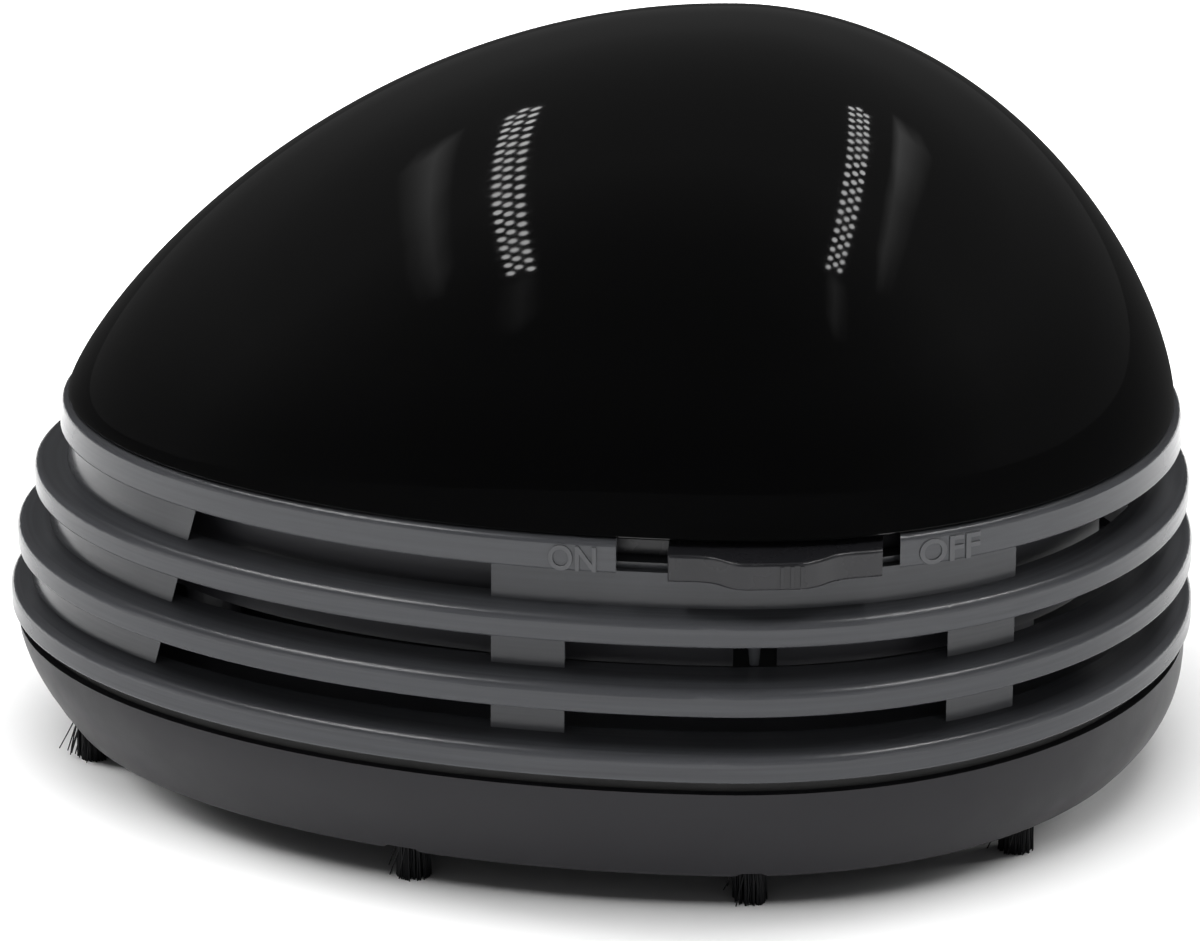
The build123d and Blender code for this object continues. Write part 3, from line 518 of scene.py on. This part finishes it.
GRAINS = {
    "none": 0.0,
    "fine": 0.002 * MM,
    "plain": 0.004 * MM,
    "coarse": 0.006 * MM,
    "rubber": 0.02 * MM,
}
# Colour, roughness, grain, and what differs from plain moulded plastic
PLASTICS = {
    "raised_print": ((0.088, 0.09, 0.096), 0.3, "none", {"specular": 0.3}),
    "hood_gloss": ((0.0015, 0.0015, 0.0017), 0.04, "none", {"variation": 0.1, "rough_spread": 0.01}),
    "tray_plastic": ((0.0145, 0.0139, 0.0166), 0.42, "plain", {"variation": 0.04, "specular": 0.25}),
    "inner_plastic": ((0.05, 0.05, 0.056), 0.45, "plain", {}),
    "knob_plastic": ((0.0165, 0.0165, 0.019), 0.28, "fine", {"specular": 0.3}),
    "fan_plastic": ((0.33, 0.34, 0.34), 0.4, "coarse", {}),
    "cap_plastic": ((0.66, 0.66, 0.62), 0.45, "coarse", {}),
    "seal_rubber": ((0.006, 0.006, 0.006), 0.7, "rubber", {}),
    "bristle": ((0.004, 0.004, 0.005), 0.5, "none", {"variation": 0.3, "specular": 0.2}),
    "wire_sleeve": ((0.4, 0.02, 0.02), 0.5, "plain", {}),
}
METALS = {
    "steel": ((0.5, 0.5, 0.51), 0.32),
    "screw_steel": ((0.36, 0.36, 0.37), 0.38),
    "contact_metal": ((0.62, 0.56, 0.4), 0.3),
}
materials = {
    "ring_plastic": ribbed_plastic("ring_plastic"),
    "cell_jacket": cell_sleeves("cell_jacket"),
    "filter_cloth": screen_cloth("filter_cloth"),
}
for slot_name, (colour, rough, grain, extra) in PLASTICS.items():
    materials[slot_name] = plastic(slot_name, colour, rough, GRAINS[grain], **extra)
for slot_name, (colour, rough) in METALS.items():
    materials[slot_name] = metal(slot_name, colour, rough)

for part in frame["record"]["subparts"]:
    shown = nodes[part["node"]]
    shown.data.materials.clear()
    shown.data.materials.append(materials[part["material_slot"]])


# ---- Hood ----

def hood_egg(share, skin=0.0):
    """The hood's egg at a share of its height."""
    base = inset(inset(LONGEST_RIB, RIM_INSET), HOOD_INSET + skin)
    shares = (math.sqrt(max(0.0, 1 - share**power)) for power in HOOD_POWER)
    return Egg(*(reach * part for reach, part in zip(base, shares)))


def hood_rings(skin, rows):
    """The hood's surface drawn in by a skin, as rings from its lower edge to just under its crown."""
    height = HOOD_HEIGHT - skin
    rings = []
    for row in range(rows):
        share = math.sin(math.pi / 2 * row / rows)
        egg = hood_egg(share, skin)
        rings.append([egg_point(egg, turn, RING_TOP + height * share) for turn in turns(HOOD_COLUMNS)])
    return rings, Vector((WIDEST_X, 0, RING_TOP + height))


def edge_rings():
    """The small round from the dome's side in under its lower edge."""
    rings = []
    for step in range(EDGE_STEPS, 0, -1):
        bend = math.pi / 2 * step / EDGE_STEPS
        egg = inset(hood_egg(0.0), HOOD_EDGE * (1 - math.cos(bend)))
        z = RING_TOP + HOOD_EDGE * (1 - math.sin(bend))
        rings.append([egg_point(egg, turn, z) for turn in turns(HOOD_COLUMNS)])
    return rings


def close_crown(bm, loop, crown):
    """The faces between the last ring and the crown."""
    tip = bm.verts.new(crown)
    for index, vertex in enumerate(loop):
        bm.faces.new((vertex, loop[(index + 1) % len(loop)], tip))


def add_dome(bm):
    """The hollow dome. Its outside starts above the round of its edge and ends at the crown."""
    outer, crown = hood_rings(0.0, HOOD_ROWS)
    lifts = [Vector((0, 0, HOOD_EDGE * (1 - row / HOOD_ROWS))) for row in range(HOOD_ROWS)]
    outer = [[point + lift for point in ring] for ring, lift in zip(outer, lifts)]
    inner, inner_crown = hood_rings(HOOD_SKIN, HOOD_ROWS // 2)
    loops = skin_rings(bm, inner[::-1] + edge_rings() + outer)
    close_crown(bm, loops[-1], crown)
    close_crown(bm, loops[0][::-1], inner_crown)


def in_lip_gap(point):
    """Whether a point of the lip's course lies where the switch is."""
    return point.y < 0 and LIP_GAP[0] < point.x < LIP_GAP[1]


def add_lip(bm):
    """The lip inside the rim, with a gap for the switch."""
    outer = inset(LONGEST_RIB, LIP_INSET)
    inner = inset(outer, LIP_WALL)
    shelf = RING_TOP + LIP_SHELF
    loops = []
    for egg, z in ((outer, hood_low.z), (outer, shelf), (inner, shelf), (inner, hood_low.z)):
        loops.append([bm.verts.new(egg_point(egg, turn, z)) for turn in turns(HOOD_COLUMNS)])
    for first, second in zip(loops, loops[1:] + loops[:1]):
        for index in range(HOOD_COLUMNS):
            after = (index + 1) % HOOD_COLUMNS
            if not in_lip_gap(first[index].co) and not in_lip_gap(first[after].co):
                bm.faces.new((first[index], first[after], second[after], second[index]))


def add_rod(bm, x, y, low, high, radius):
    """An upright rod with closed ends."""
    rings = [circle(x, y, z, radius, PEG_SIDES) for z in (low, high)]
    skin_rings(bm, rings, closed_start=True, closed_end=True)


def add_pegs(bm):
    """Four posts under the dome, each with a thinner peg below that seats in the deck."""
    post_high = RING_TOP + HOOD_HEIGHT * PEG_POST_SHARE
    for x, y in PEG_PLACES:
        for side in (-1, 1):
            add_rod(bm, x, side * y, PEG_POST_LOW, post_high, PEG_POST_RADIUS)
            add_rod(bm, x, side * y, hood_low.z, PEG_POST_LOW + PEG_SINK, PEG_RADIUS)


def make_hood():
    """The hood's polished dome, its lip and its four pegs."""
    bm = bmesh.new()
    add_dome(bm)
    add_lip(bm)
    add_pegs(bm)
    bmesh.ops.recalc_face_normals(bm, faces=bm.faces)
    piece = mesh_object("hood_shell", bm, materials["hood_gloss"])
    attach(piece, "hood")
    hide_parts("hood")
    return piece


# ---- Bristles ----

def tuft_places():
    """The tufts' middles: four angles round an egg, on both sides."""
    places = []
    for angle in TUFT_ANGLES:
        turn = math.radians(angle)
        reach = TUFT_EGG.blunt if angle < 90 else TUFT_EGG.pointed
        for side in (-1, 1):
            places.append((WIDEST_X + reach * math.cos(turn), side * TUFT_EGG.side * math.sin(turn)))
    return places


def scatter(draw, reach):
    """A small level step in any direction."""
    return Vector((draw.gauss(0, reach), draw.gauss(0, reach), 0))


def add_fibre(bm, root, tip, bend):
    """A bent bristle: a thin four-sided tube that narrows towards its tip."""
    rings = []
    for step in range(FIBRE_STEPS + 1):
        share = step / FIBRE_STEPS
        centre = root.lerp(tip, share) + bend * math.sin(math.pi * share)
        rings.append(circle(*centre, FIBRE_RADIUS * (1 - FIBRE_TAPER * share), FIBRE_SIDES))
    skin_rings(bm, rings, closed_start=True, closed_end=True)


def make_bristles():
    """The tufts' fibres: straight bundles cut flat, with a few strays."""
    draw = random.Random(BRISTLE_SEED)
    bm = bmesh.new()
    for x, y in tuft_places():
        lean = Vector((draw.uniform(*TUFT_LEAN_X), draw.uniform(*TUFT_LEAN_Y), 0))
        for _ in range(FIBRES):
            turn = draw.uniform(0, 2 * math.pi)
            reach = TUFT_RADIUS * math.sqrt(draw.random())
            out = Vector((math.cos(turn), math.sin(turn), 0))
            root = Vector((x, y, TUFT_ROOT_Z)) + out * reach
            tip = root + out * reach * (TUFT_SPREAD - 1) + lean + scatter(draw, FIBRE_SPLAY)
            tip.z = abs(draw.gauss(0, TIP_UNEVEN))
            bend = scatter(draw, FIBRE_BEND)
            if draw.random() < STRAY_SHARE:
                tip += (out * STRAY_OUT + STRAY_WAY) * draw.uniform(*STRAY_REACH)
                tip.z = draw.uniform(0.0, STRAY_LIFT)
            add_fibre(bm, root, tip, bend)
    bmesh.ops.recalc_face_normals(bm, faces=bm.faces)
    piece = mesh_object("bristle_fibres", bm, materials["bristle"])
    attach(piece, "tray")
    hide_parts("bristle_tufts")


# ---- Words on the rim ----

def rim_frame(x, height):
    """A point on the front of the rim's face, and the directions along it and out of it."""
    egg = inset(inset(LONGEST_RIB, RIM_INSET), RIM_LEAN * height / RIM_HEIGHT)
    reach = egg.pointed if x < WIDEST_X else egg.blunt
    across = (x - WIDEST_X) / reach
    depth = math.sqrt(1 - across**2)
    along = Vector((1, egg.side * across / reach / depth, 0)).normalized()
    up = Vector((0, RIM_LEAN, RIM_HEIGHT)).normalized()
    point = Vector((x, -egg.side * depth, RING_TOP - RIM_HEIGHT + height))
    return point, along, along.cross(up).normalized()


def flat_word(word):
    """A word's raised letters, lying flat, in triangles with short edges."""
    curve = bpy.data.curves.new(word, "FONT")
    curve.body = word
    curve.size = WORD_HEIGHT / CAPITAL_SHARE
    curve.offset = WORD_BOLD
    curve.align_x = "CENTER"
    curve.extrude = WORD_DEPTH
    curve.bevel_depth = WORD_BEVEL
    curve.resolution_u = WORD_CURVES
    text = bpy.data.objects.new("text_" + word, curve)
    bpy.context.scene.collection.objects.link(text)
    bpy.context.view_layer.update()
    flat = bpy.data.meshes.new_from_object(text)
    bpy.data.objects.remove(text)
    bm = bmesh.new()
    bm.from_mesh(flat)
    bpy.data.meshes.remove(flat)
    bmesh.ops.triangulate(bm, faces=bm.faces)
    for _ in range(WORD_PASSES):
        long_edges = [edge for edge in bm.edges if edge.calc_length() > WORD_STEP]
        if long_edges:
            bmesh.ops.subdivide_edges(bm, edges=long_edges, cuts=1)
            bmesh.ops.triangulate(bm, faces=bm.faces)
    return bm


def make_word(word, x, stretch):
    """A raised word that follows the rim round, with its middle at x."""
    bm = flat_word(word)
    _, along, _ = rim_frame(x, RIM_HEIGHT / 2)
    for vertex in bm.verts:
        station = x + vertex.co.x * stretch * along.x
        point, _, out = rim_frame(station, vertex.co.y + WORD_LOW)
        vertex.co = point + out * vertex.co.z
    piece = mesh_object("word_" + word.lower(), bm, materials["raised_print"], smooth=False)
    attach(piece, "housing")


# ---- Stage, lights and camera ----

def direction(azimuth, elevation):
    """A unit vector: azimuth 0 points to -Y, 90 to +X."""
    across, up = math.radians(azimuth), math.radians(elevation)
    return Vector((math.sin(across) * math.cos(up), -math.cos(across) * math.cos(up), math.sin(up)))


def make_camera():
    """The camera fitted to the photo."""
    data = bpy.data.cameras.new("camera")
    data.lens = CAMERA_LENS
    data.sensor_width = CAMERA_SENSOR
    data.clip_start = CAMERA_CLIP
    camera = bpy.data.objects.new("camera", data)
    bpy.context.scene.collection.objects.link(camera)
    back = direction(CAMERA_AZIMUTH, CAMERA_ELEVATION)
    camera.location = CAMERA_TARGET + back * CAMERA_DISTANCE
    camera.rotation_euler = (-back).to_track_quat("-Z", "Y").to_euler()
    bpy.context.scene.camera = camera


def glow(name, strength=1.0):
    """A material that only gives light, with its light and its output to build on."""
    material = bpy.data.materials.new(name)
    material.use_nodes = True
    tree = material.node_tree
    tree.nodes.clear()
    emission = tree.nodes.new("ShaderNodeEmission")
    output = tree.nodes.new("ShaderNodeOutputMaterial")
    tree.links.new(emission.outputs["Emission"], output.inputs["Surface"])
    emission.inputs["Strength"].default_value = strength
    return material, tree, emission, output


def glow_over(tree, emission, output, under):
    """The glow added to another shader."""
    added = tree.nodes.new("ShaderNodeAddShader")
    tree.links.new(emission.outputs["Emission"], added.inputs[0])
    tree.links.new(under.outputs["BSDF"], added.inputs[1])
    tree.links.new(added.outputs["Shader"], output.inputs["Surface"])


def read_off(tree, value, stops, start, end):
    """A number read off a line of stops between two ends."""
    place = tree.nodes.new("ShaderNodeMapRange")
    place.inputs["From Min"].default_value = start
    place.inputs["From Max"].default_value = end
    tree.links.new(value, place.inputs["Value"])
    shares = [((where - start) / (end - start), (level,) * 3) for where, level in stops]
    return ramp(tree, place.outputs["Result"], shares)


def reflection_only(obj):
    """The stage piece shows in polished surfaces and nowhere else."""
    obj.visible_camera = False
    obj.visible_diffuse = False
    obj.visible_transmission = False
    obj.visible_volume_scatter = False
    obj.visible_shadow = False


def ceiling_glow(name, rows):
    """Faint light on the ceiling, brightest along a line and fading to its edges.
    It is added to what is behind it."""
    material, tree, emission, output = glow(name)
    level = tree.nodes.new("ShaderNodeAttribute")
    level.attribute_name = "glow"
    tree.links.new(level.outputs["Fac"], emission.inputs["Strength"])
    glow_over(tree, emission, output, tree.nodes.new("ShaderNodeBsdfTransparent"))
    bm = bmesh.new()
    shade = bm.verts.layers.float.new("glow")
    lines = []
    for y, inner, peak, outer, strength in rows:
        line = []
        for x, share in ((inner, 0.0), (peak, 1.0), ((peak + outer) / 2, GLOW_FADE), (outer, 0.0)):
            corner = bm.verts.new((x * CEILING, y * CEILING, CEILING))
            corner[shade] = share * strength
            line.append(corner)
        lines.append(line)
    for first, second in zip(lines, lines[1:]):
        for index in range(len(first) - 1):
            bm.faces.new((first[index], first[index + 1], second[index + 1], second[index]))
    reflection_only(mesh_object(name, bm, material, smooth=False))


def lamp_x(sign, share):
    """Where a ceiling lamp is across the room, at a share of its length from the front."""
    front, back = LAMP_ENDS[sign]
    return front + (back - front) * share


def room_lamps():
    """The two ceiling lamps, each of many small lights."""
    bm = bmesh.new()
    for sign in LAMP_ENDS:
        for row in range(LAMP_ROWS):
            for column in range(LAMP_COLUMNS):
                x = lamp_x(sign, row / LAMP_ROWS)
                x += (column - (LAMP_COLUMNS - 1) / 2) * LAMP_COLUMN_STEP
                y = LAMP_START + (row + (column % 2) / 2) * LAMP_ROW_STEP
                dot = circle(x, y, CEILING - LAMP_DROP, LAMP_DOT, LAMP_DOT_SIDES)
                bm.faces.new([bm.verts.new(point) for point in dot])
    reflection_only(mesh_object("room_lamps", bm, glow("room_lamp", LAMP_GLOW)[0], smooth=False))


def dim_room():
    """The room that the hood mirrors: a dim ball, darkest in front, and lighter upwards."""
    material, tree, emission, _ = glow("room")
    coords = tree.nodes.new("ShaderNodeTexCoord")
    way = tree.nodes.new("ShaderNodeVectorMath")
    way.operation = "NORMALIZE"
    tree.links.new(coords.outputs["Object"], way.inputs[0])
    split = tree.nodes.new("ShaderNodeSeparateXYZ")
    tree.links.new(way.outputs["Vector"], split.inputs["Vector"])
    front = tree.nodes.new("ShaderNodeVectorMath")
    front.operation = "DOT_PRODUCT"
    front.inputs[1].default_value = ROOM_DARK_WAY.normalized()
    tree.links.new(way.outputs["Vector"], front.inputs[0])
    darkness = read_off(tree, front.outputs["Value"], ROOM_DARKNESS, 0.0, 1.0)
    level = read_off(tree, split.outputs["Z"], ROOM_LEVELS, -1.0, 1.0)
    tree.links.new(calculator(tree)("MULTIPLY", darkness, level), emission.inputs["Strength"])
    bm = bmesh.new()
    bmesh.ops.create_icosphere(bm, subdivisions=ROOM_SUBDIVISIONS, radius=ROOM_RADIUS)
    reflection_only(mesh_object("room", bm, material))


def floor_card():
    """Keeps the white floor out of the hood's gloss: dim from above, and nothing at all from below."""
    material, tree, emission, output = glow("floor_card", CARD_GLOW)
    geometry = tree.nodes.new("ShaderNodeNewGeometry")
    clear = tree.nodes.new("ShaderNodeBsdfTransparent")
    side = tree.nodes.new("ShaderNodeMixShader")
    tree.links.new(geometry.outputs["Backfacing"], side.inputs["Fac"])
    tree.links.new(emission.outputs["Emission"], side.inputs[1])
    tree.links.new(clear.outputs["BSDF"], side.inputs[2])
    tree.links.new(side.outputs["Shader"], output.inputs["Surface"])
    bm = bmesh.new()
    z = RING_TOP + CARD_LIFT
    inner = [egg_point(hood_egg(0.0, -CARD_LIFT), turn, z) for turn in turns(HOOD_COLUMNS)]
    outer = circle(0, 0, z, math.sqrt(ROOM_RADIUS**2 - RING_TOP**2), HOOD_COLUMNS)
    skin_rings(bm, [outer, inner])
    reflection_only(mesh_object("floor_card", bm, material, smooth=False))


def seen_directly(tree):
    """1 for camera, glossy and transmission rays, else 0."""
    path = tree.nodes.new("ShaderNodeLightPath")
    step = calculator(tree)
    gloss = step("MAXIMUM", path.outputs["Is Camera Ray"], path.outputs["Is Glossy Ray"])
    return step("MAXIMUM", gloss, path.outputs["Is Transmission Ray"])


def make_floor():
    """A plain white floor. Further out it glows, to the camera and in gloss only, so that it stays
    white."""
    material, tree, emission, output = glow("floor")
    diffuse = tree.nodes.new("ShaderNodeBsdfDiffuse")
    diffuse.inputs["Color"].default_value = FLOOR_COLOUR
    coords = tree.nodes.new("ShaderNodeTexCoord")
    distance = tree.nodes.new("ShaderNodeVectorMath")
    distance.operation = "LENGTH"
    tree.links.new(coords.outputs["Object"], distance.inputs[0])
    level = tree.nodes.new("ShaderNodeMapRange")
    level.interpolation_type = "SMOOTHSTEP"
    level.inputs["From Min"].default_value, level.inputs["From Max"].default_value = FLOOR_GLOW_SPAN
    level.inputs["To Max"].default_value = FLOOR_GLOW
    tree.links.new(distance.outputs["Value"], level.inputs["Value"])
    lift = calculator(tree)("MULTIPLY", seen_directly(tree), level.outputs["Result"])
    tree.links.new(lift, emission.inputs["Strength"])
    glow_over(tree, emission, output, diffuse)
    bm = bmesh.new()
    bm.faces.new([bm.verts.new(point) for point in circle(0, 0, 0, FLOOR_RADIUS, FLOOR_SIDES)])
    floor = mesh_object("floor", bm, material, smooth=False)
    return floor


def make_world():
    """White to the camera and in gloss, and a plain dim light on the object."""
    world = bpy.data.worlds.new("studio")
    bpy.context.scene.world = world
    world.use_nodes = True
    tree = world.node_tree
    background = tree.nodes["Background"]
    background.inputs["Color"].default_value = (1, 1, 1, 1)
    level = tree.nodes.new("ShaderNodeMapRange")
    level.inputs["To Min"].default_value = WORLD_LIGHT
    level.inputs["To Max"].default_value = 1.0
    tree.links.new(seen_directly(tree), level.inputs["Value"])
    tree.links.new(level.outputs["Result"], background.inputs["Strength"])


def area_lamp(name, place, target, size, power, lit):
    """A rectangular lamp that lights only what the collection says."""
    data = bpy.data.lights.new(name, "AREA")
    data.shape = "RECTANGLE"
    data.size, data.size_y = size
    data.energy = power
    lamp = bpy.data.objects.new(name, data)
    bpy.context.scene.collection.objects.link(lamp)
    lamp.location = place
    lamp.rotation_euler = (Vector(target) - Vector(place)).to_track_quat("-Z", "Y").to_euler()
    lamp.light_linking.receiver_collection = lit
    return lamp


def receivers(name, objects, state):
    """The objects that a lamp lights, or leaves out."""
    group = bpy.data.collections.new(name)
    for obj in objects:
        group.objects.link(obj)
    for member in group.collection_objects:
        member.light_linking.link_state = state
    return group


def make_lamps(hood, floor):
    """Two long ceiling lamps, soft side and front light, and the floor's own soft lights.
    The hood mirrors the dim room instead."""
    rest = receivers("all_but_hood_and_floor", (hood, floor), "EXCLUDE")
    length = LAMP_ROWS * LAMP_ROW_STEP
    for sign, name in ((-1, "lamp_left"), (1, "lamp_right")):
        place = (lamp_x(sign, 0.5), LAMP_START + length / 2, CEILING)
        below = (*place[:2], 0)
        area_lamp(name, place, below, (LAMP_WIDTH, length), LAMP_POWER, rest)
        glint = area_lamp(name + "_glint", place, below, (GLINT_WIDTH, length), GLINT_POWER, rest)
        glint.visible_diffuse = False
        side = (sign * SIDE_PLACE[0], *SIDE_PLACE[1:])
        area_lamp(name + "_side", side, AIM, SIDE_SIZE, SIDE_POWER[sign], rest)
    area_lamp("lamp_front", FRONT_PLACE, AIM, FRONT_SIZE, FRONT_POWER, rest)
    floor_alone = receivers("floor_alone", (floor,), "INCLUDE")
    for name, (place, width, power) in FLOOR_LAMPS.items():
        area_lamp(name, place, (0, 0, 0), (width, width), power, floor_alone)


make_camera()
shell = make_hood()
make_bristles()
for word, middle, stretch in WORDS:
    make_word(word, middle, stretch)
dim_room()
for glow_name, glow_rows in CEILING_GLOWS.items():
    ceiling_glow(glow_name, glow_rows)
room_lamps()
floor_card()
ground = make_floor()
make_world()
make_lamps(shell, ground)
bpy.context.scene.view_settings.view_transform = "Standard"
